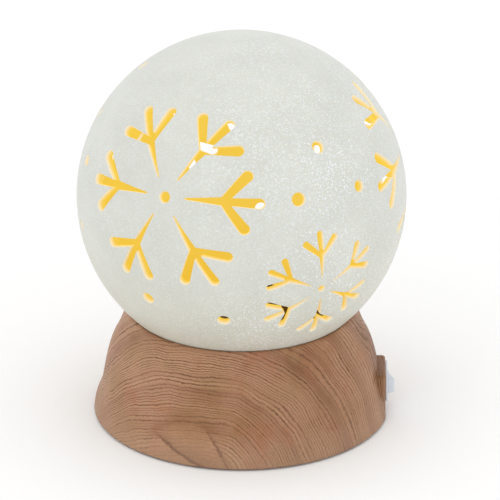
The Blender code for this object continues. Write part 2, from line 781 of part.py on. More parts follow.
def make_terminals(materials):
    back = SWITCH_BACK_X - GAP
    for number, side in ((1, -1.0), (2, 1.0)):
        y = side * TERMINAL_Y
        low = (back - TERMINAL_LENGTH, y - 0.3, SWITCH_Z - 1.6)
        high = (back, y + 0.3, SWITCH_Z + 1.6)
        blade = box_mesh(f"switch_terminal_{number}", low, high)
        place(f"switch_terminal_{number}", blade, materials["steel"], smooth=False)


def smooth_route(knots, steps):
    """Return points on a smooth curve through the knots."""
    padded = [2 * Vector(knots[0]) - Vector(knots[1])]
    padded += [Vector(knot) for knot in knots]
    padded += [2 * Vector(knots[-1]) - Vector(knots[-2])]
    route = []
    for index in range(1, len(padded) - 2):
        before, start, end, after = padded[index - 1 : index + 3]
        for step in range(steps):
            t = step / steps
            route.append(
                0.5
                * (
                    2 * start
                    + (end - before) * t
                    + (2 * before - 5 * start + 4 * end - after) * t**2
                    + (3 * start - before - 3 * end + after) * t**3
                )
            )
    route.append(padded[-2])
    return route


def make_leads(materials):
    blade_end = SWITCH_BACK_X - GAP - TERMINAL_LENGTH - GAP
    holder_side = HOLDER_HALF[0] + GAP
    under_board = BOARD_UNDER - GAP
    routes = {
        "lead_battery_switch": (
            "red_lead",
            (
                (holder_side, 20.0, 12.0),
                (22.0, 19.5, 13.0),
                (28.0, 12.0, 13.0),
                (30.5, 5.0, 11.5),
                (blade_end, TERMINAL_Y, SWITCH_Z),
            ),
        ),
        "lead_switch_led": (
            "red_lead",
            (
                (blade_end, -TERMINAL_Y, SWITCH_Z),
                (29.0, -4.5, 14.0),
                (20.0, -4.0, 22.0),
                (7.0, -1.0, 26.0),
                (1.3, 0.0, 29.5),
                (1.3, 0.0, under_board),
            ),
        ),
        "lead_battery_led": (
            "black_lead",
            (
                (holder_side, -20.0, 12.0),
                (21.5, -18.0, 15.0),
                (14.0, -9.0, 21.0),
                (2.0, -3.0, 25.0),
                (-1.3, 0.0, 29.5),
                (-1.3, 0.0, under_board),
            ),
        ),
    }
    for name, (slot, knots) in routes.items():
        make_wire(name, smooth_route(knots, 4), LEAD_R, 2, materials[slot])


def build():
    clear_scene()
    materials = make_materials()
    make_base_shell(materials)
    make_globe(materials)
    make_gasket(materials)
    make_light(materials)
    make_screws(materials)
    make_feet(materials)
    make_bottom_cover(materials)
    make_battery_door(materials)
    make_battery_holder(materials)
    make_cells(materials)
    make_switch_body(materials)
    make_rocker(materials)
    make_terminals(materials)
    make_leads(materials)


build()
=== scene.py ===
"""The looks of the snowflake globe night light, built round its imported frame.

The frame's nodes stay where they are. The globe, base, switch and screws get finer meshes that stand
for their nodes; the other nodes keep their mesh, with softened edges and their own materials.
"""

import json
import math
import random

import bmesh
import bpy
import numpy as np
from mathutils import Matrix, Vector
from mathutils.geometry import delaunay_2d_cdt


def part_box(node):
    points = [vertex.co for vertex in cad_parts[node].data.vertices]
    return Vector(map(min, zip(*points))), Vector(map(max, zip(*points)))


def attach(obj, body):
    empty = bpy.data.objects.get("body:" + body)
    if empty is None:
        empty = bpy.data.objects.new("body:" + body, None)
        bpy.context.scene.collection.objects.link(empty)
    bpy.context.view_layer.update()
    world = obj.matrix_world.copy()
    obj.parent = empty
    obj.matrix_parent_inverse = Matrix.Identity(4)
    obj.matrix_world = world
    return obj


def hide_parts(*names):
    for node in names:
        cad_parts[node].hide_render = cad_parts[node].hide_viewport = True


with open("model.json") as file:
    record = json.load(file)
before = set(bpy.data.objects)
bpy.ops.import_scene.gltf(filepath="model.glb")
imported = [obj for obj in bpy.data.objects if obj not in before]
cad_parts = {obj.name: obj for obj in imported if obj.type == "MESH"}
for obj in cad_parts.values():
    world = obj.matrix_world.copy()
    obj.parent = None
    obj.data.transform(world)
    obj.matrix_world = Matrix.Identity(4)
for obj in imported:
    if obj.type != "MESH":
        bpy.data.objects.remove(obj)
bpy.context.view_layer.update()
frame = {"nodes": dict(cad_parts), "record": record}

MM = 0.001
SEED = 11


def node_box(name):
    """Return a node's low and high corners in millimetres."""
    low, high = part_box(name)
    return [value / MM for value in low], [value / MM for value in high]


# Places and sizes read from the frame, in millimetres.
SHADE_LOW, SHADE_HIGH = node_box("globe_shade")
GLOBE_R = (SHADE_HIGH[1] - SHADE_LOW[1]) / 2
GLOBE_Z = SHADE_HIGH[2] - GLOBE_R
GLOBE_WALL = 3.0
INNER_R = GLOBE_R - GLOBE_WALL
MOUTH_R = GLOBE_R * 0.5

SHELL_LOW, SHELL_HIGH = node_box("base_shell")
BASE_BOTTOM = SHELL_LOW[2]
BOSS_FACE_X = SHELL_HIGH[0]

BODY_LOW, BODY_HIGH = node_box("switch_body")
BEZEL_FRONT_X = BODY_HIGH[0]
SWITCH_Z = (BODY_LOW[2] + BODY_HIGH[2]) / 2

# ---------------------------------------------------------------- small mesh tools


def new_object(name, mesh, body, slot, stands_for):
    """Add a visible piece that rides on a body and stands for one node of the frame."""
    item = bpy.data.objects.new(name, mesh)
    bpy.context.scene.collection.objects.link(item)
    mesh.materials.clear()
    mesh.materials.append(PAINTS[slot])
    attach(item, body)
    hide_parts(stands_for)


def mesh_from(name, verts, faces):
    """Make a mesh from points in millimetres."""
    mesh = bpy.data.meshes.new(name)
    mesh.from_pydata([tuple(v * MM for v in vert) for vert in verts], [], faces)
    mesh.validate()
    return mesh


def outward(mesh):
    """Weld a closed mesh and turn its faces outwards."""
    data = bmesh.new()
    data.from_mesh(mesh)
    bmesh.ops.remove_doubles(data, verts=data.verts, dist=0.001 * MM)
    bmesh.ops.recalc_face_normals(data, faces=data.faces)
    data.to_mesh(mesh)
    data.free()
    return mesh


def shade(mesh, angle=35.0):
    """Shade a mesh smooth, with creases where it turns more than an angle in degrees."""
    mesh.shade_smooth()
    mesh.set_sharp_from_angle(angle=math.radians(angle))
    return mesh


def turned(name, outline, segments=128):
    """Turn a closed (radius, height) outline about Z."""
    count = len(outline)
    verts = []
    faces = []
    for step in range(segments):
        angle = math.tau * step / segments
        for radius, height in outline:
            verts.append((radius * math.cos(angle), radius * math.sin(angle), height))
    for step in range(segments):
        here = step * count
        there = (step + 1) % segments * count
        for index in range(count):
            after = (index + 1) % count
            if outline[index][0] == 0.0 and outline[after][0] == 0.0:
                continue
            faces.append((here + index, there + index, there + after, here + after))
    return shade(outward(mesh_from(name, verts, faces)))


def peg(name, radius, low, high, segments=24):
    """Return an upright cylinder on the Z axis."""
    return turned(name, [(0.0, low), (radius, low), (radius, high), (0.0, high)], segments)


def smooth_through(points, steps):
    """Return points on a smooth curve through the given points."""
    padded = [2 * Vector(points[0]) - Vector(points[1])]
    padded += [Vector(point) for point in points]
    padded += [2 * Vector(points[-1]) - Vector(points[-2])]
    route = []
    for index in range(1, len(padded) - 2):
        before, start, end, after = padded[index - 1 : index + 3]
        for step in range(steps):
            t = step / steps
            route.append(
                0.5
                * (
                    2 * start
                    + (end - before) * t
                    + (2 * before - 5 * start + 4 * end - after) * t**2
                    + (3 * start - before - 3 * end + after) * t**3
                )
            )
    route.append(padded[-2])
    return [tuple(point) for point in route]


def box(name, low, high):
    """Return a block between two corners in millimetres."""
    data = bmesh.new()
    size = [(high[axis] - low[axis]) * MM for axis in range(3)]
    middle = [(high[axis] + low[axis]) * 0.5 * MM for axis in range(3)]
    matrix = Matrix.Translation(middle) @ Matrix.Diagonal((*size, 1.0))
    bmesh.ops.create_cube(data, size=1.0, matrix=matrix)
    mesh = bpy.data.meshes.new(name)
    data.to_mesh(mesh)
    data.free()
    return mesh


def rounded(mesh, width, segments=3, angle=30.0):
    """Round a mesh's sharp edges by a width in millimetres."""
    data = bmesh.new()
    data.from_mesh(mesh)
    limit = math.radians(angle)
    sharp = [e for e in data.edges if e.is_manifold and e.calc_face_angle() > limit]
    bmesh.ops.bevel(
        data,
        geom=sharp,
        offset=width * MM,
        segments=segments,
        profile=0.5,
        affect="EDGES",
        clamp_overlap=True,
    )
    data.to_mesh(mesh)
    data.free()
    return mesh


def prism(name, outline, low, high):
    """Extrude a closed (x, y) outline from height low to height high."""
    count = len(outline)
    verts = [(x, y, low) for x, y in outline] + [(x, y, high) for x, y in outline]
    faces = [tuple(reversed(range(count))), tuple(range(count, 2 * count))]
    for index in range(count):
        after = (index + 1) % count
        faces.append((index, after, count + after, count + index))
    return outward(mesh_from(name, verts, faces))


def moved(mesh, matrix):
    """Move a mesh by a matrix and return it."""
    mesh.transform(matrix)
    return mesh


def shift(x, y, z):
    """Return a move in millimetres."""
    return Matrix.Translation((x * MM, y * MM, z * MM))


def without_slivers(mesh):
    """Weld a mesh's doubled points and dissolve its faces of no area."""
    data = bmesh.new()
    data.from_mesh(mesh)
    bmesh.ops.remove_doubles(data, verts=data.verts, dist=0.0005 * MM)
    bmesh.ops.dissolve_degenerate(data, dist=0.0005 * MM, edges=data.edges)
    data.to_mesh(mesh)
    data.free()
    return mesh


def boolean(mesh, tools, operation):
    """Apply Booleans with each tool mesh in turn and return the result."""
    target = bpy.data.objects.new("target", mesh)
    bpy.context.scene.collection.objects.link(target)
    helpers = []
    for tool in tools:
        helper = bpy.data.objects.new("tool", tool)
        bpy.context.scene.collection.objects.link(helper)
        helpers.append(helper)
        modifier = target.modifiers.new("step", "BOOLEAN")
        modifier.operation = operation
        modifier.solver = "EXACT"
        modifier.object = helper
    graph = bpy.context.evaluated_depsgraph_get()
    result = bpy.data.meshes.new_from_object(target.evaluated_get(graph), depsgraph=graph)
    result.name = mesh.name
    for item in (target, *helpers):
        bpy.data.objects.remove(item, do_unlink=True)
    return without_slivers(result)


def around(radius, count, first=0.0):
    """Return evenly spaced places on a circle about Z."""
    angles = [math.radians(first + 360.0 * index / count) for index in range(count)]
    return [(radius * math.cos(angle), radius * math.sin(angle)) for angle in angles]


# ---------------------------------------------------------------- materials


class Paint:
    """A short way to write a node material."""

    def __init__(self, name):
        self.material = bpy.data.materials.new(name)
        self.material.use_nodes = True
        self.tree = self.material.node_tree
        self.shader = self.tree.nodes["Principled BSDF"]
        self.place = self.add("ShaderNodeTexCoord").outputs["Object"]

    def add(self, kind, settings=None, **inputs):
        """Add a node, with its settings and its inputs by name."""
        node = self.tree.nodes.new(kind)
        for key, value in (settings or {}).items():
            setattr(node, key, value)
        for key, value in inputs.items():
            self.join(node.inputs[key.replace("_", " ")], value)
        return node

    def join(self, socket, value):
        """Link a socket to another node's output, or set it to a plain value."""
        if isinstance(value, bpy.types.NodeSocket):
            self.tree.links.new(value, socket)
        else:
            socket.default_value = value

    def set(self, **inputs):
        """Set the shader's inputs by name."""
        for key, value in inputs.items():
            self.join(self.shader.inputs[key.replace("_", " ")], value)

    def math(self, operation, first, second=0.0, third=None):
        node = self.tree.nodes.new("ShaderNodeMath")
        node.operation = operation
        self.join(node.inputs[0], first)
        self.join(node.inputs[1], second)
        if third is not None:
            self.join(node.inputs[2], third)
        return node.outputs[0]

    def vector(self, operation, first, second=(0.0, 0.0, 0.0)):
        node = self.tree.nodes.new("ShaderNodeVectorMath")
        node.operation = operation
        self.join(node.inputs[0], first)
        self.join(node.inputs[1], second)
        return node.outputs["Value" if operation in ("LENGTH", "DISTANCE") else "Vector"]

    def split(self, vector):
        """Return a vector's X, Y and Z outputs."""
        return self.add("ShaderNodeSeparateXYZ", Vector=vector).outputs

    def from_axis(self):
        """Return the distance from the Z axis, in metres."""
        x, y = self.split(self.place)[:2]
        return self.vector("LENGTH", self.add("ShaderNodeCombineXYZ", X=x, Y=y).outputs[0])

    def near(self, value, middle, reach):
        """Return 1 where a value is within reach of a middle value, else 0."""
        away = self.math("ABSOLUTE", self.math("SUBTRACT", value, middle))
        return self.math("LESS_THAN", away, reach)

    def noise(self, vector, scale, detail=2.0, rough=0.5, colour=False):
        """Return noise in space, as a value or as a colour."""
        node = self.add(
            "ShaderNodeTexNoise", Vector=vector, Scale=scale, Detail=detail, Roughness=rough
        )
        return node.outputs["Color" if colour else "Fac"]

    def noise_along(self, value, scale, detail=2.0, rough=0.5):
        """Return noise that changes with one value only."""
        node = self.add("ShaderNodeTexNoise", {"noise_dimensions": "1D"})
        self.join(node.inputs["W"], value)
        self.join(node.inputs["Scale"], scale)
        self.join(node.inputs["Detail"], detail)
        self.join(node.inputs["Roughness"], rough)
        return node.outputs["Fac"]

    def cells(self, vector, scale):
        """Return a random colour for each small cell of space."""
        return self.add("ShaderNodeTexVoronoi", Vector=vector, Scale=scale).outputs["Color"]

    def fit(self, value, low, high, to_low=0.0, to_high=1.0, smooth=False):
        """Map a value from one range to another, held at the ends."""
        node = self.tree.nodes.new("ShaderNodeMapRange")
        node.interpolation_type = "SMOOTHSTEP" if smooth else "LINEAR"
        for index, item in enumerate((value, low, high, to_low, to_high)):
            self.join(node.inputs[index], item)
        return node.outputs[0]

    def mix(self, factor, first, second, blend="MIX"):
        """Blend two colours by a factor."""
        node = self.tree.nodes.new("ShaderNodeMix")
        node.data_type = "RGBA"
        node.blend_type = blend
        self.join(node.inputs[0], factor)
        self.join(node.inputs[6], first)
        self.join(node.inputs[7], second)
        return node.outputs[2]

    def grey(self, value):
        node = self.add("ShaderNodeCombineColor", Red=value, Green=value, Blue=value)
        return node.outputs[0]

    def ramp(self, value, stops):
        """Return the colour at a value on a ramp of (place, colour) stops."""
        node = self.tree.nodes.new("ShaderNodeValToRGB")
        self.join(node.inputs[0], value)
        elements = node.color_ramp.elements
        while len(elements) < len(stops):
            elements.new(0.5)
        for element, (position, colour) in zip(elements, stops):
            element.position = position
            element.color = colour
        return node.outputs[0]

    def bump(self, height, strength, distance):
        """Roughen the surface by a height from 0 to 1, over a distance in metres."""
        node = self.add("ShaderNodeBump", Height=height, Strength=strength, Distance=distance)
        self.join(self.shader.inputs["Normal"], node.outputs[0])


def tone(red, green, blue):
    """Return a linear colour from 0 to 255 screen values."""
    channels = []
    for channel in (red, green, blue):
        value = channel / 255.0
        low = value <= 0.04045
        channels.append(value / 12.92 if low else ((value + 0.055) / 1.055) ** 2.4)
    return (*channels, 1.0)


def ceramic():
    """White glitter glaze outside, with painted warm lamp light glowing towards the inside of the wall.
    """
    paint = Paint("glitter_ceramic")
    place = paint.place
    centre = (0.0, 0.0, GLOBE_Z * MM)
    distance = paint.vector("DISTANCE", place, centre)
    depth = paint.math("DIVIDE", paint.math("SUBTRACT", GLOBE_R * MM, distance), GLOBE_WALL * MM)
    height = paint.math("SUBTRACT", paint.split(place)[2], GLOBE_Z * MM)

    # Glaze: cool white with soft clouds and tiny flakes of several tints. Painted shade and painted warm
    # light bounced from the base make it darker and warmer low down.
    clouds = paint.fit(paint.noise(place, 55.0, 4.0, 0.6), 0.35, 0.65)
    lit_high_glaze = paint.mix(clouds, tone(207, 209, 201), tone(214, 216, 208))
    shaded_bounce_low_glaze = paint.mix(clouds, tone(202, 200, 184), tone(208, 206, 191))
    # Painted light: the glaze is lighter higher up and has painted shade and warm bounce light low down.
    glaze = paint.mix(paint.fit(height, -0.052, 0.012, smooth=True), shaded_bounce_low_glaze, lit_high_glaze)
    flake = paint.split(paint.cells(place, 2600.0))
    tint = paint.ramp(
        flake[1],
        (
            (0.0, tone(255, 244, 228)),
            (0.35, tone(222, 240, 236)),
            (0.6, tone(234, 234, 252)),
            (1.0, tone(255, 255, 255)),
        ),
    )
    shows = paint.fit(flake[0], 0.8, 0.86)
    dusting = paint.fit(paint.noise(place, 30.0, 2.0), 0.35, 0.65, 0.35, 0.9)
    rightward = paint.fit(paint.split(place)[0], -0.03, 0.025, 0.4, 1.0)
    dusting = paint.math("MULTIPLY", dusting, rightward)
    glaze = paint.mix(paint.math("MULTIPLY", shows, dusting), glaze, tint)
    glaze = paint.mix(1.0, glaze, paint.grey(paint.fit(flake[2], 0.0, 1.0, 0.96, 1.02)), "MULTIPLY")

    # The cut walls: pale biscuit at the edge, then painted lamp light that makes them warmer with depth
    # and glowing where they meet the inside.
    # Painted light: the wall's colour warms with depth, as if lit by the lamp inside.
    wall = paint.fit(depth, 0.08, 0.55, smooth=True)
    biscuit = paint.mix(wall, tone(240, 238, 226), tone(246, 226, 168))
    surface = paint.mix(paint.fit(depth, 0.03, 0.12, smooth=True), glaze, biscuit)
    # Painted light: towards the inside the wall turns dark, so that its painted glow shows instead.
    inside = paint.fit(depth, 0.3, 0.75, smooth=True)
    surface = paint.mix(inside, surface, tone(40, 30, 10))

    # Painted lamp light on the inside: a flat warm yellow glow, a little deeper low down and in slow
    # clouds.
    slow = paint.noise(place, 28.0, 2.0)
    low_down = paint.fit(height, -0.045, 0.02)
    warm = paint.mix(low_down, tone(240, 192, 60), tone(247, 207, 76))
    warm = paint.mix(paint.fit(slow, 0.35, 0.65, 0.0, 0.45), warm, tone(250, 214, 92))
    # Painted glow: a faint cream light on the cut walls, standing for light shining through the ceramic.
    painted_wall_glow = paint.fit(depth, 0.05, 0.3, 0.0, 0.1)
    painted_glow_colour = paint.mix(inside, tone(255, 232, 188), warm)
    paint.set(
        Base_Color=surface,
        Roughness=paint.fit(flake[0], 0.0, 1.0, 0.32, 0.6),
        Emission_Color=painted_glow_colour,
        Emission_Strength=paint.math("ADD", paint.math("MULTIPLY", inside, 0.84), painted_wall_glow),
    )
    paint.set(Coat_Weight=0.15, Coat_Roughness=0.35)
    grain = paint.math("ADD", flake[2], paint.noise(place, 900.0, 3.0, 0.6))
    paint.bump(grain, 0.25, 0.00015)
    return paint.material


# Wood grain, in metres: growth rings round a trunk that runs front to back, falling towards
# the front, with its heart low on the front, left of the middle.
TRUNK_FALL = math.radians(24.5)
HEART_X = -0.017
HEART_DROP = 0.026
GRAIN_WRAP_R = 0.0565
RING_SPREAD_RIGHT = 1.17
RING_REACH_LEFT = 0.0565
RING_SPACING = 0.00112


def ring_distance(paint, place):
    """Return each point's distance from the heart of the wood, and its places across and up from it."""
    x, y, z = paint.split(place)[:3]
    wander = paint.split(paint.noise(place, 26.0, 2.0, 0.5, colour=True))
    ripple = paint.split(paint.noise(place, 120.0, 2.0, 0.5, colour=True))
    ratio = paint.math("DIVIDE", x, GRAIN_WRAP_R)
    across = paint.math("MULTIPLY", paint.math("ARCSINE", ratio), GRAIN_WRAP_R)
    across = paint.math("SUBTRACT", across, HEART_X)
    across = paint.math("ADD", across, paint.fit(wander[0], 0.0, 1.0, -0.006, 0.006))
    up = paint.math("MULTIPLY", z, math.cos(TRUNK_FALL))
    up = paint.math("MULTIPLY_ADD", y, math.sin(TRUNK_FALL), up)
    up = paint.math("ADD", up, HEART_DROP)
    up = paint.math("ADD", up, paint.fit(wander[1], 0.0, 1.0, -0.0045, 0.0045))
    up = paint.math("ADD", up, paint.fit(ripple[1], 0.0, 1.0, -0.0010, 0.0010))

    spread = paint.math("POWER", paint.math("DIVIDE", across, RING_SPREAD_RIGHT), 2.0)
    right = paint.math("SQRT", paint.math("MULTIPLY_ADD", up, up, spread))
    share = paint.math("DIVIDE", paint.math("ABSOLUTE", across), RING_REACH_LEFT)
    left_over = paint.math("SUBTRACT", 1.0, paint.math("POWER", share, 3.0))
    shape = paint.math("POWER", paint.math("MAXIMUM", left_over, 0.2), 1.0 / 3.0)
    left = paint.math("DIVIDE", up, shape)
    side = paint.math("GREATER_THAN", across, 0.0)
    chosen = paint.tree.nodes.new("ShaderNodeMix")
    for index, value in ((0, side), (2, left), (3, right)):
        paint.join(chosen.inputs[index], value)
    return chosen.outputs[0], across, up


def printed_wood():
    """Printed wood grain: thin dark ring lines on tan, with bands, fibres and a few cracks."""
    paint = Paint("printed_wood")
    place = paint.place
    ring, across, up = ring_distance(paint, place)

    # Ring lines: uneven spacing, ragged edges, each with its own strength, fading along its run.
    ragged = paint.noise(place, 900.0, 3.0, 0.65)
    spacing = paint.noise_along(ring, 140.0, 1.0, 0.5)
    phase = paint.math("DIVIDE", ring, RING_SPACING)
    phase = paint.math("ADD", phase, paint.fit(spacing, 0.0, 1.0, -2.0, 2.0))
    phase = paint.math("ADD", phase, paint.fit(ragged, 0.0, 1.0, -0.4, 0.4))
    number = paint.math("FLOOR", phase)
    inside = paint.math("FRACT", phase)
    fall = paint.fit(inside, 0.0, 0.14, smooth=True)
    rise = paint.fit(inside, 0.14, 0.55, 1.0, 0.0, smooth=True)
    line = paint.math("MINIMUM", fall, rise)
    strength = paint.fit(paint.noise_along(number, 3.7, 0.0), 0.3, 0.65, 0.5, 1.0)
    run = paint.fit(paint.noise(place, 95.0, 3.0, 0.6), 0.36, 0.58, 0.4, 1.0)
    line = paint.math("MULTIPLY", line, paint.math("MULTIPLY", strength, run))
    hair = paint.math("PINGPONG", paint.math("MULTIPLY", phase, 3.0), 1.0)
    hair = paint.math("MULTIPLY", paint.fit(hair, 0.5, 1.0), paint.math("SUBTRACT", 1.15, run))

    # Broad bands, slow patches of olive, pink and red brown.
    bands = paint.noise_along(ring, 105.0, 3.0, 0.55)
    wood = paint.ramp(
        bands,
        (
            (0.32, tone(140, 97, 66)),
            (0.5, tone(163, 121, 87)),
            (0.68, tone(182, 141, 106)),
        ),
    )
    patch = paint.noise(place, 42.0, 3.0, 0.5)
    wood = paint.mix(paint.fit(patch, 0.42, 0.62, 0.0, 0.5), wood, tone(182, 138, 113))
    wood = paint.mix(paint.fit(patch, 0.44, 0.3, 0.0, 0.55), wood, tone(142, 92, 60))
    blush = paint.noise(place, 75.0, 3.0, 0.6)
    wood = paint.mix(paint.fit(blush, 0.52, 0.68, 0.0, 0.5), wood, tone(164, 104, 70))
    wood = paint.mix(paint.fit(blush, 0.46, 0.3, 0.0, 0.45), wood, tone(156, 124, 86))

    # The smooth heart, with a dark brow over it.
    heart_x = paint.math("DIVIDE", paint.math("ADD", across, 0.005), 0.0165)
    heart_z = paint.math("DIVIDE", paint.math("SUBTRACT", up, 0.008), 0.0147)
    reach = paint.math("MULTIPLY_ADD", heart_x, heart_x, paint.math("MULTIPLY", heart_z, heart_z))
    reach = paint.math("ADD", paint.math("SQRT", reach), paint.fit(ragged, 0.0, 1.0, -0.14, 0.14))
    heart = paint.fit(reach, 1.1, 0.7, smooth=True)
    brow = paint.math("MINIMUM", paint.fit(reach, 0.92, 1.0), paint.fit(reach, 1.0, 1.3, 1.0, 0.0))
    brow = paint.math("MULTIPLY", brow, paint.fit(heart_z, 0.2, 0.9))
    wood = paint.mix(paint.math("MULTIPLY", heart, 0.55), wood, tone(166, 122, 92))
    keep = paint.math("MULTIPLY_ADD", heart, -0.6, 1.0)
    dark = tone(92, 55, 34)
    wood = paint.mix(paint.math("MULTIPLY", paint.math("MULTIPLY", line, keep), 0.97), wood, dark)
    wood = paint.mix(paint.math("MULTIPLY", paint.math("MULTIPLY", hair, keep), 0.34), wood, dark)
    wood = paint.mix(paint.math("MULTIPLY", brow, 0.42), wood, tone(122, 76, 50))

    # Two dark cracks that run down through the heart towards the right, fanning out upwards.
    for lean, middle in ((1.46, 0.0099), (0.49, 0.0132)):
        away = paint.math("MULTIPLY_ADD", up, lean, across)
        away = paint.math("ADD", away, paint.fit(ragged, 0.0, 1.0, -0.0014, 0.0014))
        away = paint.math("DIVIDE", paint.math("SUBTRACT", away, middle), math.hypot(1.0, lean))
        core = paint.fit(paint.math("ABSOLUTE", away), 0.0009, 0.0002, smooth=True)
        shadow = paint.fit(away, 0.0, 0.0042, 0.45, 0.0)
        shadow = paint.math("MULTIPLY", shadow, paint.math("GREATER_THAN", away, 0.0))
        crack = paint.math("MULTIPLY", paint.math("MAXIMUM", core, shadow), heart)
        wood = paint.mix(paint.math("MULTIPLY", crack, 0.85), wood, tone(98, 58, 36))

    # Painted shade: the top of the switch boss is darker.
    x, _, z = paint.split(place)[:3]
    boss_top_shade = paint.math("MULTIPLY", paint.fit(x, 0.0478, 0.0484), paint.fit(z, 0.0155, 0.0166))
    wood = paint.mix(paint.math("MULTIPLY", boss_top_shade, 0.5), wood, tone(122, 80, 50))

    # Painted light and shade: a little paler on the left and deeper on the right. The wood is also paler
    # along the foot.
    # Painted light and shade across the dome, lighter on the left.
    side = paint.mix(paint.fit(x, -0.042, 0.03), (1.12, 1.14, 1.12, 1.0), (0.91, 0.88, 0.83, 1.0))
    wood = paint.mix(1.0, wood, side, "MULTIPLY")
    wood = paint.mix(paint.fit(z, 0.013, 0.003, 0.0, 0.3), wood, tone(172, 144, 122))

    # Fibres and print grain.
    fleck = paint.noise(place, 1700.0, 3.0, 0.7)
    wood = paint.mix(1.0, wood, paint.grey(paint.fit(fleck, 0.25, 0.75, 0.86, 1.14)), "MULTIPLY")
    paint.set(Base_Color=wood, Roughness=paint.fit(line, 0.0, 1.0, 0.46, 0.62))
    paint.set(Specular_IOR_Level=0.3)
    paint.bump(paint.math("ADD", paint.math("MULTIPLY", line, -1.0), fleck), 0.15, 0.00012)
    return paint.material


def moulded(name, colour, roughness, speckle=0.06, bump=0.1):
    """Moulded plastic or rubber: slight mottling, fine surface texture, uneven gloss."""
    paint = Paint(name)
    cloud = paint.noise(paint.place, 90.0, 3.0, 0.55)
    fine = paint.noise(paint.place, 2600.0, 2.0, 0.6)
    darker = tuple(channel * (1.0 - speckle) for channel in colour[:3]) + (1.0,)
    lighter = tuple(min(1.0, channel * (1.0 + speckle)) for channel in colour[:3]) + (1.0,)
    both = paint.math("ADD", paint.math("MULTIPLY", cloud, 0.6), paint.math("MULTIPLY", fine, 0.4))
    paint.set(Base_Color=paint.mix(paint.fit(both, 0.35, 0.65), darker, lighter))
    paint.set(Roughness=paint.fit(cloud, 0.3, 0.7, roughness - 0.06, roughness + 0.06))
    paint.bump(fine, bump, 0.0001)
    return paint.material


def metal(name, colour):
    """Plated steel with faint drawing lines and tarnish clouds."""
    paint = Paint(name)
    stretched = paint.vector("MULTIPLY", paint.place, (300.0, 300.0, 4000.0))
    lines = paint.noise(stretched, 1.0, 3.0, 0.6)
    cloud = paint.noise(paint.place, 160.0, 3.0)
    dull = tuple(channel * 0.72 for channel in colour[:3]) + (1.0,)
    paint.set(Base_Color=paint.mix(paint.fit(cloud, 0.4, 0.7), colour, dull))
    paint.set(Metallic=1.0, Roughness=paint.fit(lines, 0.3, 0.7, 0.22, 0.42))
    paint.bump(lines, 0.08, 0.00005)
    return paint.material


def glowing(name, colour, glow, strength):
    """A lit resin with a mottled glow."""
    paint = Paint(name)
    cloud = paint.noise(paint.place, 400.0, 2.0)
    paint.set(Base_Color=paint.mix(cloud, colour, glow), Roughness=0.3)
    paint.set(Emission_Color=glow)
    paint.set(Emission_Strength=paint.fit(cloud, 0.3, 0.7, strength * 0.85, strength * 1.1))
    paint.bump(paint.noise(paint.place, 3000.0, 2.0), 0.1, 0.00005)
    return paint.material


def lens():
    """A diffuser: a lit frosted middle inside a dark brown surround."""
    paint = Paint("lens")
    radius = paint.from_axis()
    ragged = paint.fit(paint.noise(paint.place, 900.0, 2.0), 0.3, 0.7, -1e-4, 1e-4)
    edge = paint.math("ADD", radius, ragged)
    lit = paint.fit(edge, 0.0052, 0.0048)
    frost = paint.noise(paint.place, 2400.0, 3.0, 0.6)
    surround = paint.mix(frost, tone(66, 40, 20), tone(82, 52, 28))
    paint.set(Base_Color=paint.mix(lit, surround, tone(250, 236, 196)))
    paint.set(Roughness=paint.fit(frost, 0.3, 0.7, 0.4, 0.55), Emission_Color=tone(255, 226, 130))
    bright = paint.fit(radius, 0.0, 0.0055, 1.6, 0.7)
    paint.set(Emission_Strength=paint.math("MULTIPLY", lit, bright))
    paint.bump(frost, 0.12, 0.00006)
    return paint.material


def cell_jacket():
    """A battery's printed sleeve: green, with a brassy band and a pale line towards each end."""
    paint = Paint("cell_jacket")
    along = paint.math("ABSOLUTE", paint.split(paint.place)[1])
    band = paint.math("GREATER_THAN", along, 0.0158)
    ring = paint.near(along, 0.0152, 0.0004)
    cloud = paint.noise(paint.place, 120.0, 3.0)
    green = paint.mix(cloud, tone(34, 88, 66), tone(48, 108, 82))
    body = paint.mix(band, green, tone(196, 178, 120))
    paint.set(Base_Color=paint.mix(ring, body, tone(232, 232, 226)), Roughness=0.32)
    paint.set(Metallic=paint.math("MULTIPLY", band, 0.6), Coat_Weight=0.4, Coat_Roughness=0.2)
    paint.bump(paint.noise(paint.place, 1500.0, 2.0), 0.05, 0.00005)
    return paint.material


def board():
    """White solder mask with a thin copper-coloured track in a ring."""
    paint = Paint("board")
    ring = paint.near(paint.from_axis(), 0.0078, 0.0003)
    cloud = paint.noise(paint.place, 300.0, 3.0)
    mask = paint.mix(cloud, tone(226, 226, 218), tone(238, 238, 232))
    paint.set(Base_Color=paint.mix(ring, mask, tone(196, 150, 88)), Roughness=0.42)
    paint.bump(paint.noise(paint.place, 2200.0, 2.0), 0.08, 0.00005)
    return paint.material


PAINTS = {
    "ceramic": ceramic(),
    "wood_print": printed_wood(),
    "white_plastic": moulded("white_plastic", tone(208, 213, 221), 0.3, 0.02, 0.04),
    "brown_plastic": moulded("brown_plastic", tone(78, 46, 22), 0.55),
    "black_plastic": moulded("black_plastic", tone(36, 35, 34), 0.5, 0.1),
    "board": board(),
    "led": glowing("led", tone(248, 214, 96), tone(255, 214, 110), 3.0),
    "lens": lens(),
    "rubber": moulded("rubber", tone(58, 56, 54), 0.82, 0.08, 0.25),
    "silicone": moulded("silicone", tone(206, 200, 190), 0.6, 0.03, 0.1),
    "cell_jacket": cell_jacket(),
    "steel": metal("steel", tone(196, 196, 192)),
    "red_lead": moulded("red_lead", tone(178, 32, 30), 0.38, 0.06, 0.05),
    "black_lead": moulded("black_lead", tone(30, 30, 32), 0.38, 0.08, 0.05),
}

# ---------------------------------------------------------------- globe

# One snowflake at scale 1, in degrees of arc along and across an arm.
DOT_R = 2.0
STEM_START = 7.3
STEM_START_HALF = 0.28
JUNCTION = 20.8
JUNCTION_HALF = 1.5
SIDE_ANGLE = 48.0
SIDE_LENGTH = 12.4
SIDE_R = 2.05
TIP_CENTRE = 33.6
TIP_R = 1.95
CROTCH = (24.0, 1.4)

